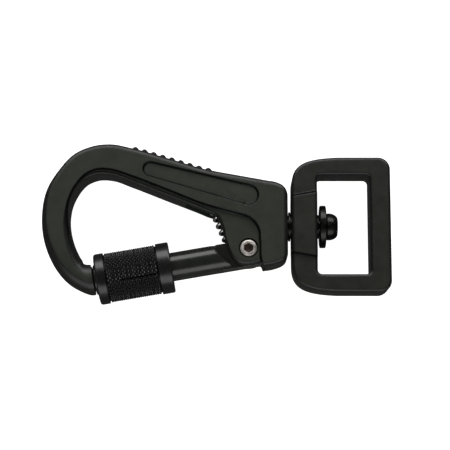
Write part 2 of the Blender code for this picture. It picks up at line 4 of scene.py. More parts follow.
import bmesh
import bpy
import numpy as np
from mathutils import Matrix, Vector

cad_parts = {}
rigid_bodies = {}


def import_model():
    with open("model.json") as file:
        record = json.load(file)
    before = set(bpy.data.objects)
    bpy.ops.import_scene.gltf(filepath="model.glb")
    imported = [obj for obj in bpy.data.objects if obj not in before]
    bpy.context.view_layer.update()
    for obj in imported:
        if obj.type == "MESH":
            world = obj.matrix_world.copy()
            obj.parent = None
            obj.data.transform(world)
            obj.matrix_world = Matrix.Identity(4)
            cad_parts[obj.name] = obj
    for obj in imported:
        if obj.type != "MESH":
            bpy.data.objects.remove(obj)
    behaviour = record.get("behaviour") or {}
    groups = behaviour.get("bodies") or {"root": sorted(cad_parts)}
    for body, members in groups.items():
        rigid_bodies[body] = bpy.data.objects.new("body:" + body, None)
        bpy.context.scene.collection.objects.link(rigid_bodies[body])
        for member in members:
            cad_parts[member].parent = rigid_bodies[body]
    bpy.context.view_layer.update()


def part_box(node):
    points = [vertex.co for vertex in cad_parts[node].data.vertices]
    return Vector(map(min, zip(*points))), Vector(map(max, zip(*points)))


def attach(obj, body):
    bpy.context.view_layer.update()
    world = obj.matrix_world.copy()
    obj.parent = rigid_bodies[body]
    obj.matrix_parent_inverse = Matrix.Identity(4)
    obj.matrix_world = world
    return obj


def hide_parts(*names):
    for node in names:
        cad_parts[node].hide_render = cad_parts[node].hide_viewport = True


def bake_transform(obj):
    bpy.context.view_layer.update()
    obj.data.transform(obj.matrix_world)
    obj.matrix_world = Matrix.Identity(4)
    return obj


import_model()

mm = 0.001

# Where things are, read from the frame. Outlines below are in mm from the origin, which is at mid thickness,
# a little above the swivel's axis.
sleeveLow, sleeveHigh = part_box("lock_sleeve")
eyeLow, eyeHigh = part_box("webbing_eye")
washerLow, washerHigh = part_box("swivel_washer")
barrelLow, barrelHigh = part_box("gate_pivot_barrel")
eyeReach = 48.75  # from the origin to the webbing's side of the eye
swivelDrop = 0.3  # from the origin down to the swivel's axis
gateLean = math.radians(9.8)  # of the closed gate
rodOffset = 1.05  # from the pivot down to the gate's axis
midHeight = (sleeveLow.z + sleeveHigh.z) / 2
swivelY = (washerLow.y + washerHigh.y) / 2
origin = np.array([eyeHigh.x - eyeReach * mm, swivelY + swivelDrop * mm, midHeight])
pivot = np.array([(barrelLow.x + barrelHigh.x) / 2, (barrelLow.y + barrelHigh.y) / 2, midHeight])
pivotPlan = (pivot - origin)[:2] / mm

look = {
    "anodisedColour": (0.034, 0.040, 0.0295),
    "eyeColour": (0.021, 0.0225, 0.0168),
    "slopeShadeColour": (0.0095, 0.0105, 0.009),
    # painted shade for the sloped faces
    "rodColour": (0.019, 0.021, 0.018),
    "sleeveColour": (0.006, 0.007, 0.006),
    # pale sharp edges, partly wear and partly a painted highlight
    "wornAndHighlightColour": (0.075, 0.078, 0.07),
    # painted shade for the steps and grooves
    "paintedShadeColour": (0.0035, 0.004, 0.0035),
    "blackSteelColour": (0.04, 0.04, 0.038),
    "steelColour": (0.8, 0.75, 0.7),
    "springColour": (0.9, 0.89, 0.86),
    "socketColour": (0.06, 0.034, 0.022),
    "rubberDark": (0.012, 0.012, 0.012),
    "rubberPale": (0.03, 0.03, 0.029),
}


def smoothStep(t):
    # 0 below 0, 1 above 1, and 3 t squared less 2 t cubed between them
    t = np.clip(t, 0.0, 1.0)
    return t * t * (3 - 2 * t)


def stripe(distance, half, fade):
    # one where the distance is within half of zero, falling to nothing over fade beyond it
    return 1 - smoothStep((np.abs(distance) - half) / fade)


def gridQuads(rows, cols, ringed=False):
    # quads of a rows by cols grid of points, closed across its columns, and across its rows if ringed
    last = rows if ringed else rows - 1
    i, j = np.meshgrid(np.arange(last), np.arange(cols), indexing="ij")
    iNext, jNext = (i + 1) % rows, (j + 1) % cols
    corners = [i * cols + j, i * cols + jNext, iNext * cols + jNext, iNext * cols + j]
    return np.stack(corners, -1).reshape(-1, 4)


def makePiece(name, surfaces, finishes=(), body=None, nodes=(), sharp=32.0):
    # surfaces is a list of (points in metres, faces, finish index), each closed; without a body the piece is
    # left for finishPiece
    allPoints, allFaces, allFinish, count = [], [], [], 0
    for points, faces, finish in surfaces:
        points = np.asarray(points, float).reshape(-1, 3)
        if isinstance(faces, np.ndarray):
            faces = faces.tolist()
        allPoints.append(points)
        allFaces += [[corner + count for corner in face] for face in faces]
        allFinish += [finish] * len(faces)
        count += len(points)
    mesh = bpy.data.meshes.new(name)
    mesh.from_pydata(np.concatenate(allPoints).tolist(), [], allFaces)
    mesh.polygons.foreach_set("material_index", np.array(allFinish, np.int32))
    tidyMesh(mesh, sharp)
    piece = bpy.data.objects.new(name, mesh)
    bpy.context.scene.collection.objects.link(piece)
    for finish in finishes:
        mesh.materials.append(finish)
    if body:
        finishPiece(piece, body, nodes)
    return piece


def tidyMesh(mesh, sharp):
    # merges doubles, turns the faces outwards and keeps edges sharper than the angle sharp
    shape = bmesh.new()
    shape.from_mesh(mesh)
    bmesh.ops.remove_doubles(shape, verts=shape.verts, dist=2e-6)
    bmesh.ops.recalc_face_normals(shape, faces=shape.faces)
    shape.to_mesh(mesh)
    shape.free()
    mesh.shade_smooth()
    mesh.set_sharp_from_angle(angle=math.radians(sharp))


def finishPiece(piece, body, nodes):
    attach(piece, body)
    if nodes:
        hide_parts(*nodes)


def carve(piece, cutter, sharp):
    # cuts one closed shape out of another, for good, and takes the cutter away
    cut = piece.modifiers.new("carve", "BOOLEAN")
    cut.object = cutter
    cut.operation = "DIFFERENCE"
    cut.solver = "EXACT"
    bpy.context.view_layer.update()
    graph = bpy.context.evaluated_depsgraph_get()
    carved = bpy.data.meshes.new_from_object(piece.evaluated_get(graph))
    piece.modifiers.clear()
    piece.data = carved
    bpy.data.objects.remove(cutter)
    carved.shade_smooth()
    carved.set_sharp_from_angle(angle=math.radians(sharp))


def markPaintedShade(piece, paintedShade):
    # stores, from 0 to 1, the painted shade of each point, by how far it lies in a step or a groove, for the
    # finish to read
    places = np.zeros(len(piece.data.vertices) * 3)
    piece.data.vertices.foreach_get("co", places)
    values = paintedShade((places.reshape(-1, 3) - origin) / mm)
    held = piece.data.attributes.new("paintedShade", "FLOAT", "POINT")
    held.data.foreach_set("value", values.astype(np.float32))


def filleted(corners, steps=5):
    # a polyline of (x, y, radius), each corner with a radius replaced by a parabola tangent to both sides
    corners = np.array(corners, float)
    xy, radius = corners[:, :2], corners[:, 2]
    out = []
    for i, point in enumerate(xy):
        if i in (0, len(xy) - 1) or radius[i] <= 0:
            out.append(point[None])
            continue
        before, after = xy[i - 1] - point, xy[i + 1] - point
        lengths = np.linalg.norm(before), np.linalg.norm(after)
        reach = min(radius[i], lengths[0] * 0.49, lengths[1] * 0.49)
        a, b = point + before / lengths[0] * reach, point + after / lengths[1] * reach
        t = np.linspace(0, 1, steps)[:, None]
        out.append((1 - t) ** 2 * a + 2 * t * (1 - t) * point + t * t * b)
    return np.concatenate(out)


def ringProfile(start, end, inner, outer, edge):
    # a washer's section between two places along its axis, its outer corners rounded
    rim = [(end, outer, edge), (start, outer, edge)]
    return filleted([(start, inner, 0), (end, inner, 0), *rim, (start, inner, 0)])[:-1]


def turned(profile, sides=96, ringed=False, centre=(0.0, 0.0), ripple=None):
    # x from the profile, and y, z = radius * (cos, sin) of an even turn; ripple(x, turn) adds to the radius
    x, radius = profile[:, 0][:, None], profile[:, 1][:, None]
    turn = np.linspace(0, 2 * np.pi, sides, endpoint=False)[None]
    if ripple is not None:
        radius = radius + ripple(x, turn)
    y, z = centre[0] + radius * np.cos(turn), centre[1] + radius * np.sin(turn)
    points = np.stack(np.broadcast_arrays(x, y, z), -1)
    return points, gridQuads(len(profile), sides, ringed)


def onRod(points):
    # mm in the gate's axes, x towards the webbing eye and y towards the spine: leaned and put on the pivot
    c, s = math.cos(gateLean), math.sin(gateLean)
    x, y, z = np.moveaxis(np.asarray(points, float), -1, 0)
    return pivot + np.stack([c * x - s * y, s * x + c * y, z], -1) * mm


def onBody(points):
    # mm from the origin, put in its place in metres
    return origin + np.asarray(points, float) * mm


def turnedOnRod(profile, sides=96, ripple=None):
    # a closed turned ring about the gate's axis, as one surface of a piece
    points, faces = turned(profile, sides, True, (-rodOffset, 0.0), ripple)
    return onRod(points), faces, 0


def turnedOnSwivel(profile, sides=96, ringed=False):
    # a turned shape about the swivel's axis, as one surface of a piece
    points, faces = turned(np.array(profile, float), sides, ringed, (-swivelDrop, 0.0))
    return onBody(points), faces, 0


def rodPlan(along, across=0.0):
    # a plan point so far down the closed gate from the pivot, and so far towards the spine from its axis
    c, s = math.cos(gateLean), math.sin(gateLean)
    x, y = -along, across - rodOffset
    return (pivotPlan[0] + c * x - s * y, pivotPlan[1] + s * x + c * y)


def arcPoints(centre, radius, start, end, steps):
    # centre + radius * (cos, sin) of the angles from start to end, in degrees
    a = np.radians(np.linspace(start, end, steps))
    return np.stack([centre[0] + radius * np.cos(a), centre[1] + radius * np.sin(a)], -1)


def signedDistance(points, outline):
    # distance from each point to the closed outline, the least over its sides; negative inside, which is where
    # a line drawn to one side crosses the outline an odd number of times
    a = np.asarray(outline, float)
    b = np.roll(a, -1, axis=0)
    p = points.reshape(-1, 1, 2)
    side = b - a
    t = np.clip(((p - a) * side).sum(-1) / (side * side).sum(-1), 0, 1)
    nearest = np.linalg.norm(p - (a + t[..., None] * side), axis=-1).min(1)
    crosses = (a[:, 1] > p[..., 1]) != (b[:, 1] > p[..., 1])
    rise = np.where(side[:, 1] == 0, 1e-12, side[:, 1])
    xCross = a[:, 0] + (p[..., 1] - a[:, 1]) / rise * side[:, 0]
    inside = (crosses & (p[..., 0] < xCross)).sum(1) % 2 == 1
    return np.where(inside, -nearest, nearest).reshape(points.shape[:-1])


def throughRows(rows, t):
    # a smooth curve through the rows, read at the places t, counted in rows: between two rows it is the cubic
    # whose slopes at its ends are those of the parabola through each row and its neighbours, by chord length
    step = np.diff(rows, axis=0)
    chord = np.linalg.norm(step, axis=1)[:, None]
    slope = step / chord
    inner = (slope[:-1] * chord[1:] + slope[1:] * chord[:-1]) / (chord[:-1] + chord[1:])
    tangent = np.vstack([slope[:1], inner, slope[-1:]])
    i = np.clip(np.floor(t).astype(int), 0, len(rows) - 2)
    f = (t - i)[:, None]
    rise = f * f * (3 - 2 * f)
    swing = tangent[i] * f * (1 - f) ** 2 - tangent[i + 1] * f * f * (1 - f)
    return rows[i] * (1 - rise) + rows[i + 1] * rise + chord[i] * swing


class Nodes:
    # adds nodes to a new material and joins them
    def __init__(self, name):
        self.material = bpy.data.materials.new(name)
        self.material.use_nodes = True
        self.tree = self.material.node_tree
        self.shader = self.tree.nodes["Principled BSDF"]

    def add(self, kind, inputs=(), **settings):
        node = self.tree.nodes.new(kind)
        for key, value in settings.items():
            setattr(node, key, value)
        for key, value in dict(inputs).items():
            if hasattr(value, "is_output"):
                self.tree.links.new(value, node.inputs[key])
            else:
                node.inputs[key].default_value = value
        return node

    def join(self, output, socket):
        self.tree.links.new(output, self.shader.inputs[socket])

    def coordinate(self, kind="Object"):
        return self.add("ShaderNodeTexCoord").outputs[kind]

    def ramp(self, factor, stops):
        node = self.add("ShaderNodeValToRGB", {"Fac": factor})
        for element, (place, colour) in zip(node.color_ramp.elements, stops):
            element.position = place
            element.color = (*colour, 1.0)
        return node.outputs["Color"]

    def fade(self, factor, low, high):
        # black up to low, white from high
        return self.ramp(factor, [(low, (0, 0, 0)), (high, (1, 1, 1))])

    def noise(self, vector, scale, detail=4.0, roughness=0.55):
        inputs = {"Vector": vector, "Scale": scale, "Detail": detail, "Roughness": roughness}
        return self.add("ShaderNodeTexNoise", inputs).outputs["Fac"]

    def math(self, operation, a, b, c=0.0):
        return self.add("ShaderNodeMath", {0: a, 1: b, 2: c}, operation=operation).outputs[0]

    def mix(self, factor, a, b):
        inputs = {"Factor": factor, "A": a, "B": b}
        return self.add("ShaderNodeMix", inputs, data_type="RGBA").outputs["Result"]

    def spread(self, value, low, high, fromLow=0.0, fromHigh=1.0):
        inputs = {"Value": value, "From Min": fromLow, "From Max": fromHigh, "To Min": low, "To Max": high}
        return self.add("ShaderNodeMapRange", inputs).outputs["Result"]

    def latheLines(self, vector, lean, stretch, detail):
        # noise squeezed along the lathe's axis and drawn out across it
        inputs = {"Vector": vector, "Rotation": (0.0, 0.0, -lean), "Scale": (9000.0, stretch, stretch)}
        return self.noise(self.add("ShaderNodeMapping", inputs).outputs["Vector"], 1.0, detail, 0.7)

    def bump(self, height, strength, distance=0.03 * mm):
        inputs = {"Strength": strength, "Distance": distance, "Height": height}
        self.join(self.add("ShaderNodeBump", inputs).outputs["Normal"], "Normal")


def scaled(colour, factor):
    return tuple(min(1.0, c * factor) for c in colour)


def anodised(name, colour, roughness, grain=0.16, lean=0.0, lathe=0.0, wearAndHighlight=0.35,
             slopeShade=None, shine=0.6, paintsShade=False):
    # dyed oxide on blasted aluminium: mottled tone and gloss, fine grain, pale sharp edges, partly wear and
    # partly a painted highlight, lathe lines round the axis where lathe is above zero, and, where a slope
    # colour is given, painted shade darkening the sloped faces, which are a little glossier; if asked, painted
    # shade in the steps
    n = Nodes(name)
    place = n.coordinate()
    base = n.ramp(n.noise(place, 130.0, 3.0), [(0.3, scaled(colour, 0.86)), (0.7, scaled(colour, 1.16))])
    gloss = n.spread(n.noise(place, 420.0, 5.0), roughness - 0.05, roughness + 0.07, 0.3, 0.7)
    if slopeShade:
        # painted shade on the sloped faces: the steeper a face, the more it takes the slope colour
        facing = n.add("ShaderNodeSeparateXYZ", {"Vector": n.coordinate("Normal")}).outputs["Z"]
        broad = n.fade(n.math("ABSOLUTE", facing, 0.0), 0.93, 0.985)
        base = n.mix(broad, (*slopeShade, 1.0), base)
        gloss = n.math("MULTIPLY_ADD", broad, 0.08, gloss)
    # pale sharp edges and knurl tips, partly wear and partly a painted highlight, broken into patches by noise
    corner = n.fade(n.add("ShaderNodeNewGeometry").outputs["Pointiness"], 0.515, 0.6)
    patchy = n.fade(n.noise(place, 900.0, 5.0, 0.7), 0.42, 0.68)
    wornAndHighlight = n.math("MULTIPLY", n.math("MULTIPLY", corner, patchy), wearAndHighlight)
    base = n.mix(wornAndHighlight, base, (*look["wornAndHighlightColour"], 1.0))
    n.shader.inputs["Specular IOR Level"].default_value = shine
    if paintsShade:
        # painted shade in the steps and grooves: a darker colour and less shine, by the stored value
        paintedShade = n.add("ShaderNodeAttribute", attribute_name="paintedShade").outputs["Fac"]
        base = n.mix(paintedShade, base, (*look["paintedShadeColour"], 1.0))
        n.join(n.math("MULTIPLY_ADD", paintedShade, -0.9 * shine, shine), "Specular IOR Level")
    n.join(base, "Base Color")
    n.join(gloss, "Roughness")
    height = n.noise(place, 5200.0, 2.0)
    if lathe:
        height = n.math("ADD", n.math("MULTIPLY", n.latheLines(place, lean, 60.0, 3.0), lathe), height)
    n.bump(height, grain)
    return n.material


def turnedSteel(name, colour, roughness, lathe=0.4):
    # bare or blackened steel with lathe lines, smudges and a little pitting
    n = Nodes(name)
    place = n.coordinate()
    smudge = n.noise(place, 700.0, 4.0)
    n.join(n.ramp(smudge, [(0.3, scaled(colour, 0.72)), (0.72, scaled(colour, 1.15))]), "Base Color")
    n.join(n.spread(smudge, roughness - 0.07, roughness + 0.12, 0.3, 0.7), "Roughness")
    lines = n.math("MULTIPLY", n.latheLines(place, 0.0, 70.0, 2.0), lathe)
    pits = n.math("MULTIPLY", n.noise(place, 4200.0, 3.0), 0.5)
    n.bump(n.math("ADD", lines, pits), 0.3)
    n.shader.inputs["Metallic"].default_value = 1.0
    return n.material


def greasedSocket(name, colour):
    # old grease and dust in the hex sockets
    n = Nodes(name)
    blotch = n.noise(n.coordinate(), 1500.0, 5.0, 0.7)
    n.join(n.ramp(blotch, [(0.3, scaled(colour, 0.5)), (0.7, scaled(colour, 1.7))]), "Base Color")
    n.join(n.spread(blotch, 0.35, 0.75), "Roughness")
    n.bump(blotch, 0.4, 0.05 * mm)
    return n.material


def ringRubber(name):
    # black rubber with a pale bloom
    n = Nodes(name)
    place = n.coordinate()
    bloom = n.noise(place, 800.0, 4.0)
    n.join(n.ramp(bloom, [(0.35, look["rubberDark"]), (0.75, look["rubberPale"])]), "Base Color")
    n.join(n.spread(bloom, 0.5, 0.8), "Roughness")
    n.bump(n.noise(place, 3000.0, 3.0), 0.2)
    return n.material


# the forged parts get painted shade on their sloped faces and in their steps
forged = {"roughness": 0.38, "slopeShade": look["slopeShadeColour"], "shine": 0.5, "paintsShade": True}
lathed = {"grain": 0.08, "lean": gateLean, "lathe": 0.3}
hookFinish = anodised("blackAnodisedHook", look["anodisedColour"], **forged)
eyeFinish = anodised("blackAnodisedEye", look["eyeColour"], **forged)
gateFinish = anodised("blackAnodisedGate", look["rodColour"], 0.22, wearAndHighlight=0.2, **lathed)
# the sleeve gets painted shade in the knurl's grooves, and its strong edge wear is partly a painted highlight
# on the knurl's tips
sleeveFinish = anodised("blackAnodisedSleeve", look["sleeveColour"], 0.3, wearAndHighlight=0.9, shine=0.65, paintsShade=True,
                        **lathed)
blackSteel = turnedSteel("blackenedSteel", look["blackSteelColour"], 0.3)
brightSteel = turnedSteel("bareSteel", look["steelColour"], 0.5, lathe=0.1)
springSteel = turnedSteel("springWire", look["springColour"], 0.3, lathe=0.1)
socketGrease = greasedSocket("socketGrease", look["socketColour"])
ringFinish = ringRubber("ringRubber")
print("finishes made")


hook = {
    "reliefDepth": 1.0,
    "reliefStep": 0.6,
    "cheekCentre": (5.6, -3.9),
    "cheekRadius": 6.5,
    "pocketDepth": 0.5,
    "pocketStep": 0.5,
    "pocketEnds": ((8.8, 7.9), (-18.8, 15.3)),
    "pocketRadii": (2.95, 2.2),
    "shadeLineInset": 0.62,
    "noseRadius": 4.6,
    "noseTip": 44.35,
    "ridges": 9,
    "ridgeFirst": (-23.1, 20.9),
    "ridgeLast": (-2.5, 14.9),
    "ridgeRadius": 0.95,
    "ridgeSunk": 0.3,
    "ridgeHalf": 4.9,
    "slotHalf": 2.8,
    "slotRound": 4.75,
    "pinSeat": 3.9,
    "pinHead": 2.75,
    "pinHole": 1.95,
    "postHole": 3.3,
    "postHoleFrom": 12.5,
    "catchNotch": (42.4, 46.6),
    "catchNotchHalf": 1.9,
}


def hookRows():
    # stations from the nose round to the swivel end:
    # outside edge, inside edge, half thickness, outside rounding, inside rounding
    r = hook["noseRadius"]
    tip = rodPlan(hook["noseTip"], 0.45 - r), rodPlan(hook["noseTip"], r)
    neck = rodPlan(45.4, 0.5 - r), rodPlan(45.6, r + 0.3)
    return np.array([
        (*tip[0], *tip[1], r, r, r),
        (*neck[0], *neck[1], r, r, r),
        (-39.1, -18.3, -38.1, -9.75, 4.7, 4.4, 4.4),
        (-43.4, -15.0, -39.9, -6.4, 5.0, 4.0, 3.6),
        (-46.9, -9.6, -41.2, -2.5, 5.4, 3.3, 2.6),
        (-48.8, -3.7, -41.75, 0.6, 5.7, 2.6, 1.8),
        (-49.2, 2.2, -41.8, 3.3, 5.9, 2.1, 1.2),
        (-48.05, 9.1, -41.1, 6.9, 6.0, 1.7, 0.8),
        (-44.8, 14.85, -39.3, 10.4, 6.0, 1.5, 0.6),
        (-40.2, 19.85, -36.5, 12.95, 6.0, 1.5, 0.6),
        (-35.0, 22.1, -33.2, 14.0, 6.0, 1.5, 0.6),
        (-30.0, 22.6, -29.4, 13.7, 6.0, 1.5, 0.6),
        (-24.2, 21.5, -24.6, 11.95, 6.0, 1.5, 0.6),
        (-12.8, 18.25, -14.0, 7.75, 6.0, 1.5, 0.6),
        (-1.9, 15.1, -3.0, 3.35, 6.0, 1.5, 0.6),
        (2.4, 14.3, -0.2, 1.95, 6.0, 1.5, 0.9),
        (4.6, 13.9, 1.65, -2.2, 6.0, 1.5, 1.2),
        (6.6, 13.55, 2.75, -6.2, 6.0, 1.5, 1.25),
        (8.2, 13.25, 4.45, -9.9, 6.0, 1.5, 1.25),
        (9.8, 12.95, 6.6, -11.6, 6.0, 1.5, 1.25),
        (11.6, 12.65, 10.0, -11.65, 6.0, 1.5, 1.25),
        (12.6, 12.45, 12.5, -11.2, 6.0, 1.5, 1.2),
        (12.9, 12.4, 12.85, -12.2, 6.0, 1.5, 1.3),
        (14.0, 12.2, 13.8, -12.2, 6.0, 1.5, 1.3),
        (16.6, 11.7, 16.6, -11.65, 6.0, 1.5, 1.3),
        (18.4, 10.8, 18.4, -10.9, 6.0, 1.4, 1.3),
        (19.4, 9.6, 19.4, -10.0, 5.6, 1.2, 1.2),
        (19.8, 8.4, 19.8, -8.9, 4.9, 1.0, 1.0),
    ])


def reliefOutline():
    # the lowered face: a narrow ledge along the inside edge that opens into the hinge cheek
    ledge = np.array([
        (-41.6, -3.0), (-42.1, 1.0), (-42.1, 4.2), (-41.2, 7.9), (-39.5, 11.2), (-36.9, 14.0), (-33.6, 15.4),
        (-30.0, 15.3), (-24.4, 13.55), (-13.7, 9.4), (-2.9, 5.15), (0.0, 4.3), (5.0, 2.95),
    ])
    cheek = arcPoints(hook["cheekCentre"], hook["cheekRadius"], 80, 0, 15)
    windowSide = [
        (12.4, -14.0), (1.0, -14.0), (-2.5, -3.0), (-6.0, 2.0), (-28.0, 9.0), (-37.0, 4.0), (-39.5, -3.0),
    ]
    smooth = throughRows(ledge, np.linspace(0, len(ledge) - 1, 73))
    return np.concatenate([smooth, cheek, windowSide])


def pocketOutline():
    # a long sunk panel between two round ends
    (near, far), (nearRadius, farRadius) = hook["pocketEnds"], hook["pocketRadii"]
    return np.concatenate([arcPoints(near, nearRadius, 75, -105, 25), arcPoints(far, farRadius, 255, 75, 21)])


def rimOutline():
    # the inside edge from the nose to the hinge ears, closed far inside the window
    inside = hookRows()[3:17, 2:4]
    smooth = throughRows(inside, np.linspace(0, len(inside) - 1, 66))
    return np.concatenate([smooth, [(-2.0, -4.0), (-20.0, 0.0), (-34.0, 0.0)]])


def slotOutline():
    # the gap between the hinge ears, with the spring's seat at its top
    start = [(-8.6, 2.0), (-8.6, 7.3), (-3.3, 5.45), (-2.6, 4.65), (2.35, 6.65), (4.75, 1.1)]
    wayOut = [(13.55, -14.5), (0.0, -14.5), (-6.0, 0.0)]
    return np.concatenate([start, arcPoints(pivotPlan, hook["slotRound"], 118, 0, 25), wayOut])


def hookFace(plan):
    # what the relief and the pocket take off the broad face: each depth times a smooth step over its outline
    relief = smoothStep(0.3 - signedDistance(plan, reliefOutline()) / hook["reliefStep"])
    pocket = smoothStep(-signedDistance(plan, pocketOutline()) / hook["pocketStep"])
    return -hook["reliefDepth"] * relief - hook["pocketDepth"] * pocket


def hookPaintedShade(points):
    # painted shade: one in the slopes of the relief and the pocket, less in a painted dark line along the
    # ledge's rim, and nothing beside them
    plan, top = points[:, :2], smoothStep((np.abs(points[:, 2]) - 3.2) / 0.6)
    reliefStep, pocketStep = hook["reliefStep"], hook["pocketStep"]
    ledge = stripe(signedDistance(plan, reliefOutline()) + 0.2 * reliefStep, 0.28 * reliefStep, 0.14)
    pocket = stripe(signedDistance(plan, pocketOutline()) + 0.5 * pocketStep, 0.36 * pocketStep, 0.16)
    # a painted dark line set in from the inside edge
    rim = 0.75 * stripe(signedDistance(plan, rimOutline()) - hook["shadeLineInset"], 0.08, 0.14)
    return top * np.maximum(np.maximum(ledge, pocket), rim)


def slotDepth(inside, across):
    # how far the ears' slot reaches into each section from its inside edge, by trying one place after another
    reach = np.linspace(0.02, 12.5, 420)
    probe = inside[:, None] - across[:, None] * reach[None, :, None]
    inSlot = signedDistance(probe, slotOutline()) < 0
    return reach[np.argmin(inSlot, axis=1)] * inSlot[:, 0]


def ridgeRise(outside):
    # how far the thumb ridges lift the outside edge: the top of a sunk circle round each ridge's middle
    first, last = np.array(hook["ridgeFirst"]), np.array(hook["ridgeLast"])
    share = np.linspace(0, 1, hook["ridges"])[:, None]
    offset = outside[:, None] - ((1 - share) * first + share * last)[None]
    direction = (last - first) / np.linalg.norm(last - first)
    along = np.abs((offset * direction).sum(-1))
    rise = np.sqrt(np.maximum(hook["ridgeRadius"] ** 2 - along**2, 0)) - hook["ridgeSunk"]
    return np.maximum(rise, 0).max(1) * (np.linalg.norm(offset, axis=-1).min(1) < 1.6)


def between(low, high, steps):
    # for each row, even steps from low to high
    f = np.linspace(0, 1, steps)[None]
    return low[:, None] * (1 - f) + high[:, None] * f


def hookSurface():
    # at each station, a section from the outside edge over the face to the inside edge and the ears' slot;
    # the lower half is its mirror image, and the ring of both is carried from the nose to the swivel end
    rows = hookRows()
    counts = [4, 6] + [9] * 8 + [10, 14, 44, 42, 16, 12, 12, 12, 12, 12, 10, 5, 8, 9, 8, 6, 5]
    t = np.concatenate([i + np.arange(n) / n for i, n in enumerate(counts)] + [[len(rows) - 1.0]])
    table = throughRows(rows, t)
    outside, inside = table[:, 0:2], table[:, 2:4]
    half, outer, inner = table[:, 4], table[:, 5], table[:, 6]
    across = inside - outside
    width = np.linalg.norm(across, axis=1)
    across = across / width[:, None]
    outer = np.minimum(np.minimum(outer, width / 2), half)
    inner = np.minimum(np.minimum(inner, width / 2), half)
    depth = slotDepth(inside, across)

    innerTop = half + hookFace(inside - across * inner[:, None])
    inner = np.minimum(inner, innerTop)
    innerWall = innerTop - inner
    slotTop = np.minimum(hook["slotHalf"], np.maximum(innerWall, 0))

    zero = np.zeros_like(width)
    quarter = np.linspace(0, np.pi / 2, 9)[None]
    faceAcross = between(outer, width - inner, 92)
    lowered = hookFace(outside[:, None] + across[:, None] * faceAcross[..., None])
    outerRound = outer[:, None] * (1 - np.cos(quarter)), outer[:, None] * np.sin(quarter)
    innerRound = inner[:, None] * (1 - np.sin(quarter)), inner[:, None] * np.cos(quarter)
    parts = [  # (how far across, height over mid thickness) of each stretch
        (between(zero, zero, 8), between(zero, half - outer, 8)),
        (outerRound[0], (half - outer)[:, None] + outerRound[1]),
        (faceAcross, half[:, None] + lowered),
        (width[:, None] - innerRound[0], innerWall[:, None] + innerRound[1]),
        (between(width, width, 5), between(innerWall, slotTop, 5)),
        (between(width, width - depth, 12), between(slotTop, slotTop, 12)),
        (between(width - depth, width - depth, 4), between(slotTop, zero, 4)),
    ]
    a = np.concatenate([part[0] for part in parts], axis=1)
    z = np.concatenate([part[1] for part in parts], axis=1)
    nearEdge = np.clip(1 - a / 1.2, 0, 1) * smoothStep((hook["ridgeHalf"] + 0.35 - z) / 0.8)
    a = a - ridgeRise(outside)[:, None] * nearEdge

    flat = outside[:, None] + across[:, None] * a[..., None]
    upper = np.concatenate([flat, z[..., None]], axis=-1)
    lower = upper[:, ::-1] * [1, 1, -1]
    ring = np.concatenate([upper, lower[:, 1:-1]], axis=1)
    rowsMade, cols = ring.shape[:2]
    faces = gridQuads(rowsMade, cols).tolist()
    faces += [list(range(cols))[::-1], list(range((rowsMade - 1) * cols, rowsMade * cols))]
    return onBody(ring), faces, 0


def swivelBar(start, end, radius, sides):
    # a plain closed cylinder on the swivel's axis
    return turnedOnSwivel([(start, 0), (start, radius), (end, radius), (end, 0)], sides)


def hookCutter():
    # stepped hole for the hinge pin, hole for the swivel post, and the notch for the gate's catch
    seat, head, hole, beyond = hook["pinSeat"], hook["pinHead"], hook["pinHole"], 8.0
    upper = [(seat, hole), (seat, head), (beyond, head), (beyond, 0)]
    lower = [(-x, radius) for x, radius in upper[::-1]]
    points, faces = turned(np.array(lower + upper, float), 72)
    pinHole = np.stack([pivotPlan[0] + points[..., 1], pivotPlan[1] + points[..., 2], points[..., 0]], -1)
    near, far = hook["catchNotch"]
    notch = [rodPlan(near, -2.0), rodPlan(near, 9.0), rodPlan(far, 9.0), rodPlan(far, -2.0)]
    box = np.array([[*corner, z * hook["catchNotchHalf"]] for z in (-1, 1) for corner in notch])
    boxFaces = [[3, 2, 1, 0], [4, 5, 6, 7], [0, 1, 5, 4], [1, 2, 6, 5], [2, 3, 7, 6], [3, 0, 4, 7]]
    post = swivelBar(hook["postHoleFrom"], 21.0, hook["postHole"], 48)
    return makePiece("hookCutter", [(onBody(pinHole), faces, 0), post, (onBody(box), boxFaces, 0)])


hookBody = makePiece("hookBody", [hookSurface()], [hookFinish])
carve(hookBody, hookCutter(), 40.0)
markPaintedShade(hookBody, hookPaintedShade)
finishPiece(hookBody, "hook", ["hook_body"])
print("hook body:", len(hookBody.data.polygons), "faces")


gate = {
    "rod": 4.05,
    "thread": 4.35,
    "threadDepth": 0.5,
    "pitch": 2.5,
    "threadFrom": 27.4,
    "threadTo": 40.6,
    "ringGroove": (41.9, 41.0),
    "grooveFloor": 3.5,
    "tip": 44.0,
    "tongueHalf": 2.5,
    "lug": 4.3,
    "pinHole": 1.95,
    "catchHalf": 1.5,
    "shoulder": 7.0,
    "shoulderAngle": math.radians(218.0),
}


def gateProfile():
    # (x, radius) from the tip over the stop ring's groove and the thread to the plain rod
    tip, far, near = -gate["tip"], -gate["ringGroove"][0], -gate["ringGroove"][1]
    r, rod, floor, start = gate["thread"], gate["rod"], gate["grooveFloor"], -gate["threadFrom"]
    end = [(tip, 0.0), (tip, 2.0), (tip, r - 0.45), (tip + 0.1, r - 0.2), (tip + 0.4, r - 0.02),
           (tip + 1.6, r)]
    groove = [(far - 0.05, r), (far, r - 0.05), (far, floor), (near, floor), (near, r - 0.05),
              (near + 0.05, r)]
    threadX = np.linspace(-gate["threadTo"], start, 124)
    plain = [(start + 0.05, r - 0.01), (start + 0.1, rod), (-20.0, rod), (-16.0, rod)]
    leaning = np.linspace(-14.0, -9.2, 10)
    return np.concatenate([
        end, groove, np.stack([threadX, np.full_like(threadX, r)], -1),
        plain, np.stack([leaning, np.full_like(leaning, rod)], -1)])


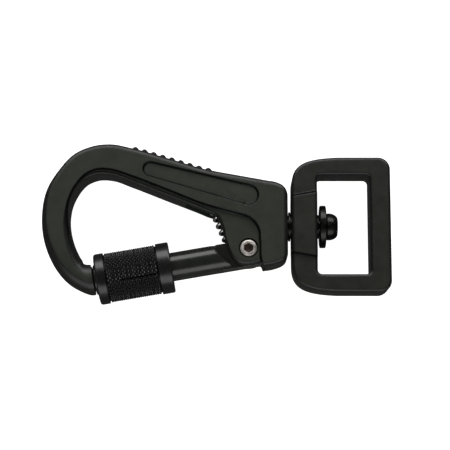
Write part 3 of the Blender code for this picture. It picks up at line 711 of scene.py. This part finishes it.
def gateRodSurface():
    # a round bar with a trapezoid thread, whose rows lean over towards the hinge until they lie in the
    # shoulder's plane, where it is flattened to the tongue; the thread takes off its depth times a smooth step
    # of a zigzag of x over the pitch less the turn
    rows = gateProfile()
    x, radius = rows[:, :1], rows[:, 1:]
    turn = np.linspace(0, 2 * np.pi, 96, endpoint=False)[None]
    wave = np.abs(((x / gate["pitch"] - turn / (2 * np.pi)) % 1.0) * 2 - 1)
    cut = smoothStep((wave - 0.3) / 0.4)
    ends = smoothStep((x + gate["threadTo"]) / 1.0) * smoothStep((-gate["threadFrom"] - x) / 1.6)
    radius = radius - gate["threadDepth"] * cut * ends
    y, z = radius * np.cos(turn), radius * np.sin(turn)
    leanOver = smoothStep((x + 16.0) / 4.0)
    slope = math.tan(gate["shoulderAngle"])
    straight = x - leanOver * slope * (y - rodOffset)
    shoulderX = gate["shoulder"] / math.cos(gate["shoulderAngle"]) - slope * (y[-1] - rodOffset)
    body = np.stack([np.minimum(straight, shoulderX[None] - 0.02), y, z], -1)
    last = np.stack([shoulderX, y[-1], z[-1]], -1)
    tongue = []
    for step, half, share in ((0.25, 3.5, 1.0), (0.75, 2.4, 1.0), (2.0, 2.3, 0.95), (5.0, 2.3, 0.9)):
        narrowed = y[-1] * share + rodOffset * (1 - share)
        tongue.append(np.stack([shoulderX + step, narrowed, np.clip(z[-1], -half, half)], -1))
    centre = np.tile(tongue[-1].mean(0), (96, 1))
    points = np.concatenate([body, last[None], np.stack(tongue), centre[None]])
    points[..., 1] -= rodOffset
    return onRod(points), gridQuads(len(points), 96), 0


def roundedSlab(outline, half, edge, hole=0.0):
    # a flat outline given thickness, its rims rounded: rings from one face's middle over its edge to the
    # other's, or, where hole is above zero, from a round hole about (0, 0) and back through it
    outline = np.asarray(outline, float)
    count = len(outline)
    middle = outline.mean(0)
    tangent = np.roll(outline, -1, axis=0) - np.roll(outline, 1, axis=0)
    normal = np.stack([tangent[:, 1], -tangent[:, 0]], -1)
    normal = normal / np.linalg.norm(normal, axis=1)[:, None]
    if ((outline - middle) * normal).sum() < 0:
        normal = -normal
    quarter = np.linspace(0, np.pi / 2, 5)
    levels = [(edge * (1 - math.sin(q)), half - edge + edge * math.cos(q)) for q in quarter]
    levels += [(inset, -height) for inset, height in levels[::-1]]
    centre = np.tile(middle, (count, 1))
    if hole:
        centre = outline / np.linalg.norm(outline, axis=1)[:, None] * hole
    rings = [np.column_stack([centre, np.full(count, half)])]
    rings += [np.column_stack([outline - normal * inset, np.full(count, height)]) for inset, height in levels]
    rings += [np.column_stack([centre, np.full(count, -half)])]
    return onRod(np.stack(rings)), gridQuads(len(rings), count, hole > 0), 0


def gateLugSurface():
    # the tongue's end: round about the pivot and bored for the pin, with a heel that runs out under the block
    inset = gate["rod"] - 0.25
    top, bottom, back = inset - rodOffset, -inset - rodOffset, -9.0
    nose = [(*point, 0) for point in arcPoints((0, 0), gate["lug"], 138, -30, 30)]
    heel = [(3.5, -4.4, 0.4), (2.9, bottom, 0.3)]
    under = [(x, bottom, 0) for x in np.linspace(1.5, -8.0, 14)]
    corners = [(back, bottom, 0), (back, top, 0), (-3.3, top, 1.0), *nose, *heel, *under, (back, bottom, 0)]
    return roundedSlab(filleted(corners)[:-1], gate["tongueHalf"], 0.3, gate["pinHole"])


def gateCatchSurface():
    # the blade on the gate's tip that drops into the nose
    tip, root, low, high = -46.0, -43.0, -1.6, 3.3
    corners = [(tip, low, 0.5), (root, low, 0), (root, high, 0), (tip, high, 0.5), (tip, low, 0.5)]
    return roundedSlab(filleted(corners)[:-1] - [0.0, rodOffset], gate["catchHalf"], 0.25)


gatePiece = makePiece("gateRod", [gateRodSurface(), gateLugSurface(), gateCatchSurface()],
                      [gateFinish], "gate", ["gate"])
print("gate:", len(gatePiece.data.polygons), "faces")


sleeve = {
    "start": 22.1,
    "length": 21.3,
    "radius": 7.2,
    "knurl": 7.02,
    "grooveDepth": 0.45,
    "hingeBand": 3.6,
    "noseBand": 2.7,
    "teeth": 36,
    "toothPitch": 1.08,
    "toothDepth": 0.42,
    "scribed": 0.35,
    "scribedAt": 1.88,
    "scribedWidth": 0.22,
    "mouth": 4.6,
    "bore": 4.65,
    "noseBore": 5.3,
    "shoulder": 16.2,
    "ringSeat": 5.85,
    "sides": 360,
}
stopRing = {"from": 41.8, "to": 41.1, "inner": 3.8, "outer": 5.0, "edge": 0.15}
dragRing = {"in": 1.8, "middle": 4.95, "thick": 0.6}


def sleevePaintedShade(points):
    # painted shade in the knurl's grooves, by how far a point lies down in them, from its distance to the
    # gate's axis
    x, y = points[:, 0] - pivotPlan[0], points[:, 1] - pivotPlan[1]
    across = math.cos(gateLean) * y - math.sin(gateLean) * x + rodOffset
    radius = np.hypot(across, points[:, 2])
    return 0.7 * smoothStep((sleeve["knurl"] - 0.1 - radius) / 0.22) * (radius > 6.0)


def sleeveSurface():
    # a turned shell, whose middle is cut by two crossing sets of spiral grooves into small pyramids
    start, end = -sleeve["start"], -sleeve["start"] - sleeve["length"]
    r, k, noseBore, mouth = sleeve["radius"], sleeve["knurl"], sleeve["noseBore"], sleeve["mouth"]
    floor = k - sleeve["grooveDepth"]
    first, last = start - sleeve["hingeBand"], end + sleeve["noseBand"]  # the bands' edges towards the knurl
    shoulder = start - sleeve["shoulder"]
    outside = filleted([
        (start, r - 1.4, 0), (start, r, 0.55), (first, r, 0.12),
        (first - 0.1, floor, 0.1), (first - 0.35, floor, 0.1), (first - 0.5, k, 0)])
    knurlX = np.linspace(first - 0.5, last + 0.5, 120)
    rest = filleted([
        (last + 0.5, k, 0), (last + 0.35, floor, 0.1), (last + 0.1, floor, 0.1), (last, r, 0.12),
        (end, r, 0.9), (end, noseBore + 0.3, 0.1), (end + 0.4, noseBore, 0),
        (shoulder, noseBore, 0), (shoulder, sleeve["bore"], 0)])
    boreX = np.linspace(shoulder, start - 2.7, 40)
    seat = [(start - 2.7, sleeve["ringSeat"]), (start - 0.9, sleeve["ringSeat"])]
    wayIn = [(start - 0.9, mouth), (start - 0.3, mouth), (start, mouth + 0.3)]
    profile = np.concatenate([
        outside, np.stack([knurlX, np.full_like(knurlX, k)], -1), rest,
        np.stack([boreX, np.full_like(boreX, sleeve["bore"])], -1), seat, wayIn])
    isKnurl = np.zeros(len(profile))
    isKnurl[len(outside):len(outside) + len(knurlX)] = 1.0
    x = profile[:, 0]
    isKnurl *= smoothStep((first - 0.4 - x) / 0.3) * smoothStep((x - last - 0.4) / 0.3)

    def teeth(x, turn):
        # a zigzag of the turn plus x and one of the turn less x, the lower of the two; and the scribed line,
        # a bell across the turn
        round_, along = sleeve["teeth"] * turn / (2 * np.pi), x / sleeve["toothPitch"]
        one, two = (1 - np.abs(2 * (wave % 1) - 1) for wave in (round_ + along, round_ - along))
        height = np.minimum(np.minimum(one, two) * 1.1, 1.0)
        off = (turn - sleeve["scribedAt"]) * sleeve["radius"] / sleeve["scribedWidth"]
        scribed = np.exp(-off**2) * smoothStep((x - end - 6.5) / 0.4)
        return -isKnurl[:, None] * (sleeve["toothDepth"] * (1 - height) + sleeve["scribed"] * scribed)

    return turnedOnRod(profile, sleeve["sides"], teeth)


sleevePiece = makePiece("lockSleeve", [sleeveSurface()], [sleeveFinish],
                        "lock_sleeve", ["lock_sleeve"], sharp=50.0)
markPaintedShade(sleevePiece, sleevePaintedShade)
stopProfile = ringProfile(-stopRing["from"], -stopRing["to"], stopRing["inner"], stopRing["outer"],
                          stopRing["edge"])
makePiece("sleeveStopRing", [turnedOnRod(stopProfile)], [blackSteel],
          "gate", ["sleeve_stop_ring"])
dragPlace = (-sleeve["start"] - dragRing["in"], dragRing["middle"])
dragProfile = arcPoints(dragPlace, dragRing["thick"], 360, 15, 24)
makePiece("sleeveDragRing", [turnedOnRod(dragProfile)], [ringFinish],
          "sleeve_carrier", ["sleeve_drag_ring"])
print("sleeve:", len(sleevePiece.data.polygons), "faces")


pin = {
    "head": 2.4,
    "headTop": 4.85,
    "underHead": 4.2,
    "shank": 1.65,
    "socket": 1.45,
    "socketDepth": 0.9,
    "barrelFoot": -2.6,
    "screwFoot": 2.9,
}


def pinSurface(side, foot):
    # polar rings: the socket's floor and its six-sided wall, the face, the rounded rim, then the shank;
    # side is 1 for the front and -1 for the back
    turn = np.linspace(0, 2 * np.pi, 96, endpoint=False)
    flat = pin["socket"] * math.cos(math.pi / 6)
    hexagon = flat / np.cos((turn + math.pi / 6) % (math.pi / 3) - math.pi / 6)
    hexagon = np.minimum(hexagon, pin["socket"] * 0.97)
    one = np.ones(96)
    top, head, under, shank = pin["headTop"], pin["head"], pin["underHead"], pin["shank"]
    floor = top - pin["socketDepth"]
    rings = [
        (0 * one, floor - 0.25), (hexagon * 0.5, floor - 0.1), (hexagon, floor), (hexagon, top - 0.12),
        (hexagon + 0.1, top - 0.02), (hexagon * 0.5 + 0.95, top), ((head - 0.55) * one, top),
        ((head - 0.45) * one, top - 0.04), ((head - 0.22) * one, top - 0.12),
        ((head - 0.06) * one, top - 0.26), (head * one, top - 0.42), (head * one, under),
        (shank * one, under), (shank * one, foot), (0 * one, foot)]
    points = np.stack([np.stack([r * np.cos(turn), r * np.sin(turn), z * one], -1) for r, z in rings])
    points[..., 2] *= side
    return pivot + points * mm, gridQuads(len(rings), 96), 0


def greaseSocket(piece, side):
    # gives the second finish to the faces that lie in the socket
    centres = np.zeros(len(piece.data.polygons) * 3)
    piece.data.polygons.foreach_get("center", centres)
    centres = (centres.reshape(-1, 3) - pivot) / mm
    height = side * centres[:, 2]
    sunk = (np.hypot(centres[:, 0], centres[:, 1]) < 1.5) & (height < pin["headTop"] - 0.1) & (height > 3.4)
    piece.data.polygons.foreach_set("material_index", sunk.astype(np.int32))


for name, side, foot, node in (("gatePinBarrel", 1, pin["barrelFoot"], "gate_pivot_barrel"),
                               ("gatePinScrew", -1, pin["screwFoot"], "gate_pivot_screw")):
    pinPiece = makePiece(name, [pinSurface(side, foot)], [brightSteel, socketGrease],
                         "hook", [node], sharp=28.0)
    greaseSocket(pinPiece, side)
print("hinge pin made")


spring = {"top": (-0.15, 4.85, 0.0), "foot": (3.88, -4.42, 0.0), "coil": 1.9, "wire": 0.47, "turns": 5.25,
          "closeEnd": 0.1}


def springSurface():
    # the line from seat to tongue plus the coil's radius times (cos, sin) of the turn, close wound at its ends,
    # with a circle of the wire's radius carried along it
    top, foot = np.array(spring["top"]), np.array(spring["foot"])
    length = np.linalg.norm(foot - top)
    axis = (foot - top) / length
    side = np.array([-axis[1], axis[0], 0.0])
    up = np.array([0.0, 0.0, 1.0])
    t = np.linspace(0, 1, 190)
    turn = 2 * np.pi * spring["turns"] * t
    climb = np.clip((t - spring["closeEnd"]) / (1 - 2 * spring["closeEnd"]), 0, 1)
    rise = spring["wire"] + (length - 2 * spring["wire"]) * (0.82 * climb + 0.18 * t)
    out = np.cos(turn)[:, None] * side + np.sin(turn)[:, None] * up
    line = top + rise[:, None] * axis + spring["coil"] * out
    ahead = np.gradient(line, axis=0)
    ahead = ahead / np.linalg.norm(ahead, axis=1)[:, None]
    second = np.cross(ahead, out)
    second = second / np.linalg.norm(second, axis=1)[:, None]
    first = np.cross(second, ahead)
    a = np.linspace(0, 2 * np.pi, 14, endpoint=False)[None, :, None]
    tube = line[:, None] + spring["wire"] * (np.cos(a) * first[:, None] + np.sin(a) * second[:, None])
    points = np.concatenate([np.repeat(line[:1, None], 14, 1), tube, np.repeat(line[-1:, None], 14, 1)])
    return onBody(points), gridQuads(len(points), 14), 0


springPiece = makePiece("gateSpring", [springSurface()], [springSteel], sharp=60.0)
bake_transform(springPiece)
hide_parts("gate_spring")
print("spring made")


eye = {
    "left": 20.9,
    "right": eyeReach,
    "halfWidth": 19.2,
    "half": 5.0,
    "boss": 0.8,
    "bossHalf": 8.4,
    "windowLeft": 28.1,
    "windowRight": 42.9,
    "windowHalf": 14.05,
    "windowCorner": 1.3,
    "corner": 3.4,
    "straight": 11.0,
    "bossStep": 0.8,
    "edge": 1.05,
    "windowEdge": 0.95,
    "bore": 3.72,
}


def eyePairs():
    # matching points of the outer outline and the window, from the swivel's side round to the webbing's side,
    # then mirrored; straight lines, quarter circles and, at the swivel's side, a cubic of four control points
    left, right, w, e = eye["left"], eye["right"], eye["halfWidth"], eye["corner"]
    inLeft, inRight, inW, c = eye["windowLeft"], eye["windowRight"], eye["windowHalf"], eye["windowCorner"]

    def line(a, b, steps):
        f = np.linspace(0, 1, steps, endpoint=False)[:, None]
        return (1 - f) * np.array(a) + f * np.array(b)

    def curve(corners, steps):
        t = np.linspace(0, 1, steps, endpoint=False)[:, None]
        shares = [(1 - t) ** 3, 3 * t * (1 - t) ** 2, 3 * t * t * (1 - t), t**3]
        return sum(share * np.array(corner) for share, corner in zip(shares, corners))

    outer = np.concatenate([
        line((left, 0.0), (left, eye["straight"]), 48),
        curve([(left, eye["straight"]), (left, 17.3), (24.6, 18.8), (34.0, w)], 40),
        line((34.0, w), (right - e, w), 12),
        arcPoints((right - e, w - e), e, 90, 0, 15)[:-1],
        line((right, w - e), (right, 0.0), 16)])
    inner = np.concatenate([
        line((inLeft, 0.0), (inLeft, inW - c), 48),
        arcPoints((inLeft + c, inW - c), c, 180, 90, 25)[:-1],
        line((inLeft + c, inW), (33.0, inW), 16),
        line((33.0, inW), (inRight - c, inW), 12),
        arcPoints((inRight - c, inW - c), c, 90, 0, 15)[:-1],
        line((inRight, inW - c), (inRight, 0.0), 16)])
    flip = np.array([1.0, -1.0])
    outer = np.concatenate([outer, [(right, 0.0)], outer[:0:-1] * flip])
    inner = np.concatenate([inner, [(inRight, 0.0)], inner[:0:-1] * flip])
    return outer, inner


def eyePaintedShade(points):
    # painted shade: one in the slopes beside the raised boss, which fan out from the outer edge to the window
    share = (points[:, 0] - eye["left"]) / (eye["windowLeft"] - eye["left"])
    fan = 1 + share * ((eye["windowHalf"] - eye["windowCorner"]) / eye["straight"] - 1)
    gap = np.abs(points[:, 1] + swivelDrop) / fan - (eye["bossHalf"] - 0.5 * eye["bossStep"])
    onFace = smoothStep((np.abs(points[:, 2]) - 3.5) / 0.6) * (points[:, 0] < eye["windowLeft"] + 0.4)
    return stripe(gap, 0.3 * eye["bossStep"], 0.15) * onFace


def eyeSurface():
    # a bar section with rounded rims, carried round between the outline and the window; the swivel's side
    # stands proud by a smooth step
    outer, inner = eyePairs()
    across = inner - outer
    width = np.linalg.norm(across, axis=1)
    across = across / width[:, None]
    raised = smoothStep((eye["bossHalf"] - np.abs(outer[:, 1])) / eye["bossStep"]) * (outer[:, 0] < 30)
    half = (eye["half"] + eye["boss"] * raised)[:, None]
    e, g = eye["edge"], eye["windowEdge"]
    quarter = np.linspace(0, np.pi / 2, 7)[None]
    f = np.linspace(0, 1, 12)[None]
    w = width[:, None]
    rims = e * (1 - np.cos(quarter)) + 0 * w, w - g * (1 - np.sin(quarter))
    a = np.concatenate([rims[0], e + (w - e - g) * f, rims[1]], 1)
    z = np.concatenate([half - e + e * np.sin(quarter), half + 0 * f, half - g + g * np.cos(quarter)], 1)
    a = np.concatenate([a, a[:, ::-1]], 1)
    z = np.concatenate([z, -z[:, ::-1]], 1)
    plan = outer[:, None] + across[:, None] * a[..., None]
    points = np.concatenate([plan, z[..., None]], -1)
    points[..., 1] -= swivelDrop
    return onBody(points), gridQuads(points.shape[0], points.shape[1], True), 0


eyePiece = makePiece("webbingEye", [eyeSurface()], [eyeFinish])
carve(eyePiece, makePiece("eyeCutter", [swivelBar(19.0, 30.0, eye["bore"], 72)]), 35.0)
markPaintedShade(eyePiece, eyePaintedShade)
finishPiece(eyePiece, "webbing_eye", ["webbing_eye"])
print("eye:", len(eyePiece.data.polygons), "faces")


post = {
    "screw": 3.0,
    "flange": 4.15,
    "flangeFrom": 20.1,
    "flangeTo": 20.6,
    "bearing": 3.4,
    "bearingTo": 28.6,
    "neck": 2.4,
    "head": 3.8,
    "headFrom": 30.9,
    "headTo": 34.0,
}
washer = {"from": 28.9, "to": 30.6, "inner": 2.75, "outer": 6.0, "edge": 0.35}


def postProfile():
    # (x, radius, rounding) from the screwed foot over the flange and the bearing to the peened head
    foot = [(13.9, 0, 0), (13.9, post["screw"] - 0.4, 0), (14.3, post["screw"], 0)]
    flange = [(post["flangeFrom"], post["screw"], 0), (post["flangeFrom"], post["flange"], 0.12),
              (post["flangeTo"], post["flange"], 0.12), (post["flangeTo"], post["bearing"], 0)]
    neck = [(post["bearingTo"], post["bearing"], 0.15), (post["bearingTo"], post["neck"], 0)]
    head = [(post["headFrom"], post["neck"], 0), (post["headFrom"], post["head"], 0.2),
            (post["headTo"] - 1.7, post["head"], 1.4), (post["headTo"], 2.9, 1.0),
            (post["headTo"], 0.9, 0.2), (post["headTo"] - 0.2, 0, 0)]
    return filleted(foot + flange + neck + head, 8)


makePiece("swivelPost", [turnedOnSwivel(postProfile())], [blackSteel],
          "hook", ["swivel_post"], sharp=28.0)
washerProfile = ringProfile(washer["from"], washer["to"], washer["inner"], washer["outer"], washer["edge"])
makePiece("swivelWasher", [turnedOnSwivel(washerProfile, ringed=True)], [blackSteel],
          "hook", ["swivel_washer"], sharp=28.0)
print("swivel made")


studio = {
    "floorTone": 0.93,
    "floorGlow": 1.03,
    "floorHalf": 1.5,
    "floorDrop": 0.0002,
    "worldTone": 0.05,
    "spineLight": 2.6,
    "gateLight": 1.3,
    "lightAway": 0.42,
    "lightHeight": 0.26,
    "lightSize": (0.9, 0.3),
    "elevation": math.radians(80.0),
    "distance": 0.430,
    "lens": 121.55,
    "aim": (2.2, 0.27, 0.0),
}


def makeFloor():
    n = Nodes("paleFloor")
    tone = studio["floorTone"]
    mottle = n.noise(n.coordinate(), 3.0, 2.0)
    n.join(n.ramp(mottle, [(0.3, (tone * 0.99,) * 3), (0.7, (tone,) * 3)]), "Base Color")
    n.shader.inputs["Roughness"].default_value = 0.9
    n.shader.inputs["Emission Color"].default_value = (1.0, 1.0, 1.0, 1.0)
    n.shader.inputs["Emission Strength"].default_value = studio["floorGlow"]
    mesh = bpy.data.meshes.new("floor")
    h, z = studio["floorHalf"], -studio["floorDrop"]
    mesh.from_pydata([(-h, -h, z), (h, -h, z), (h, h, z), (-h, h, z)], [], [(0, 1, 2, 3)])
    mesh.materials.append(n.material)
    floor = bpy.data.objects.new("floor", mesh)
    bpy.context.scene.collection.objects.link(floor)
    floor.visible_glossy = False  # the hook's polished walls mirror the dark room and not the table


def makeLight(name, side):
    # a broad soft light over the spine's side, 1, or the gate's side, -1, turned to the object
    data = bpy.data.lights.new(name, "AREA")
    data.shape = "RECTANGLE"
    data.size, data.size_y = studio["lightSize"]
    data.energy = studio[name]
    light = bpy.data.objects.new(name, data)
    bpy.context.scene.collection.objects.link(light)
    light.location = (0.0, side * studio["lightAway"], studio["lightHeight"])
    light.rotation_euler = (Vector((0.0, 0.0, 0.0)) - light.location).to_track_quat("-Z", "Y").to_euler()


def makeCamera():
    data = bpy.data.cameras.new("camera")
    data.sensor_width = 36.0
    data.lens = studio["lens"]
    data.clip_start, data.clip_end = 0.01, 10.0
    camera = bpy.data.objects.new("camera", data)
    bpy.context.scene.collection.objects.link(camera)
    away = np.array([0.0, -math.cos(studio["elevation"]), math.sin(studio["elevation"])])
    camera.location = Vector(onBody(studio["aim"]) + studio["distance"] * away)
    camera.rotation_euler = (math.radians(90.0) - studio["elevation"], 0.0, 0.0)
    bpy.context.scene.camera = camera


makeFloor()
makeLight("spineLight", 1)
makeLight("gateLight", -1)
makeCamera()
world = bpy.data.worlds.new("studio")
bpy.context.scene.world = world
world.use_nodes = True
world.node_tree.nodes["Background"].inputs["Color"].default_value = (*(studio["worldTone"],) * 3, 1.0)
bpy.context.scene.view_settings.view_transform = "Standard"
print("studio made")
